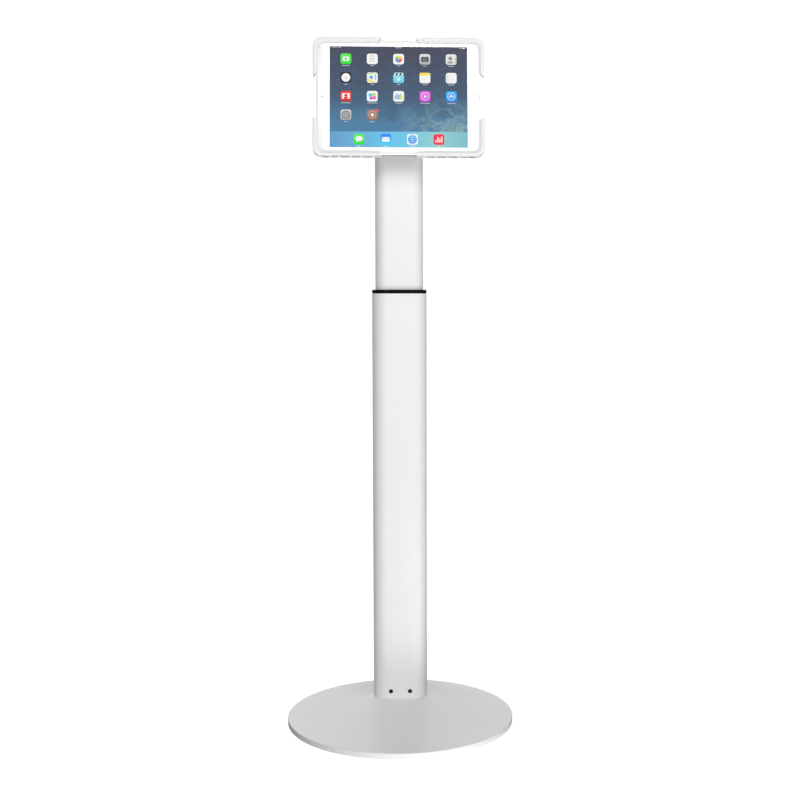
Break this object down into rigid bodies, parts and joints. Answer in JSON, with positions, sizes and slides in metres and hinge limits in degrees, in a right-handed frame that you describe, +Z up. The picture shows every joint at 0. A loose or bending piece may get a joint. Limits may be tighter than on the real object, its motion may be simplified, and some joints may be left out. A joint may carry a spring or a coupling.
{
  "type": "tablet floor stand",
  "caption": "Free-standing floor stand with a round weighted base, a telescoping flat-oval column and a tilting, turning case that grips a tablet by its corners.",
  "frame": {"origin": "on the floor, under the axis of the column and the centre of the round base", "axes": "+Z up along the column, -Y out of the screen towards the user, +X to the user's right"},
  "size_m": [0.3402, 0.3402, 1.0129],
  "materials": {
    "white_coat": "white powder coat, satin",
    "white_plastic": "moulded white, satin",
    "black_plastic": "moulded black, satin",
    "black_rubber": "matt",
    "plain_steel": "zinc plated",
    "black_steel": "black oxide",
    "bare_aluminium": "bead blasted",
    "brass": "plain",
    "white_glass": "glossy, white printed behind",
    "home_key": "glossy",
    "display": "lit display",
    "battery_pack": "foil wrapped",
    "circuit_board": "solder resist",
    "lens": "dark lens"
  },
  "bodies": {
    "base": {"base_cover": "white_coat", "base_weight": "plain_steel", "base_riser": "plain_steel", "rubber_foot_ring": "black_rubber", "base_bolt_1": "plain_steel", "base_bolt_2": "plain_steel", "base_bolt_3": "plain_steel", "base_bolt_4": "plain_steel", "column_socket": "plain_steel", "column_screw_left": "black_steel", "column_screw_right": "black_steel", "outer_column": "white_coat", "collar_bushing": "black_plastic", "cable_grommet": "black_rubber", "lock_boss": "bare_aluminium"},
    "lock_knob": {"lock_knob": "black_plastic"},
    "lock_pad": {"lock_pad": "brass"},
    "mast": {"inner_column": "white_coat", "guide_shoe": "black_plastic", "mast_cap": "black_plastic", "tilt_neck": "white_coat", "neck_screw_left": "black_steel", "neck_screw_right": "black_steel", "tilt_disc_left": "black_plastic", "tilt_disc_right": "black_plastic", "tilt_bolt": "black_steel", "tilt_nut": "black_steel"},
    "tilt_head": {"turn_plate": "white_coat", "turn_friction_ring": "black_plastic"},
    "case": {"case_hub": "bare_aluminium", "turn_nut": "plain_steel", "turn_stop_pin": "plain_steel", "hub_screw_1": "plain_steel", "hub_screw_2": "plain_steel", "hub_screw_3": "plain_steel", "hub_screw_4": "plain_steel", "case_back": "white_plastic", "corner_clip_top_left": "white_plastic", "corner_clip_top_right": "white_plastic", "corner_clip_bottom_left": "white_plastic", "corner_clip_bottom_right": "white_plastic", "clip_screw_top_left": "black_steel", "clip_screw_top_right": "black_steel", "clip_screw_bottom_left": "black_steel", "clip_screw_bottom_right": "black_steel", "edge_liner_top_left": "black_rubber", "edge_liner_top_right": "black_rubber", "edge_liner_bottom_left": "black_rubber", "edge_liner_bottom_right": "black_rubber", "tablet_shell": "bare_aluminium", "tablet_glass": "white_glass", "display_panel": "display", "tablet_battery": "battery_pack", "tablet_board": "circuit_board", "camera_lens": "lens"},
    "home_button": {"home_button": "home_key"},
    "power_button": {"power_button": "bare_aluminium"},
    "volume_up_button": {"volume_up_button": "bare_aluminium"},
    "volume_down_button": {"volume_down_button": "bare_aluminium"}
  },
  "joints": [
    {"name": "height_slide", "type": "slide", "parent": "base", "child": "mast", "axis": [0, 0, 1], "range_m": [-0.19, 0.17]},
    {"name": "head_tilt", "type": "hinge", "parent": "mast", "child": "tilt_head", "pos_m": [0, 0, 0.91978], "axis": [-1, 0, 0], "range_deg": [-9, 50]},
    {"name": "case_turn", "type": "hinge", "parent": "tilt_head", "child": "case", "pos_m": [0, 0, 0.91978], "axis": [0, 0.9867, -0.1628], "range_deg": [-90, 90]},
    {"name": "lock_knob_turn", "type": "hinge", "parent": "base", "child": "lock_knob", "pos_m": [0, 0.03, 0.628], "axis": [0, 1, 0], "range_deg": [0, 360]},
    {"name": "lock_pad_slide", "type": "slide", "parent": "base", "child": "lock_pad", "axis": [0, 1, 0], "range_m": [0, 0.001]},
    {"name": "home_press", "type": "slide", "parent": "case", "child": "home_button", "axis": [0, 0.9867, -0.1628], "range_m": [0, 0.0003], "stiffness_N_per_m": 1000, "springref_m": -0.0005},
    {"name": "power_press", "type": "slide", "parent": "case", "child": "power_button", "axis": [1, 0, 0], "range_m": [0, 0.0003], "stiffness_N_per_m": 1000, "springref_m": -0.0005},
    {"name": "volume_up_press", "type": "slide", "parent": "case", "child": "volume_up_button", "axis": [0, -0.1628, -0.9867], "range_m": [0, 0.0003], "stiffness_N_per_m": 1000, "springref_m": -0.0005},
    {"name": "volume_down_press", "type": "slide", "parent": "case", "child": "volume_down_button", "axis": [0, -0.1628, -0.9867], "range_m": [0, 0.0003], "stiffness_N_per_m": 1000, "springref_m": -0.0005}
  ],
  "couplings": [
    {"joint": "lock_pad_slide", "follows": "lock_knob_turn", "m_per_rad": 0.00015915}
  ]
}
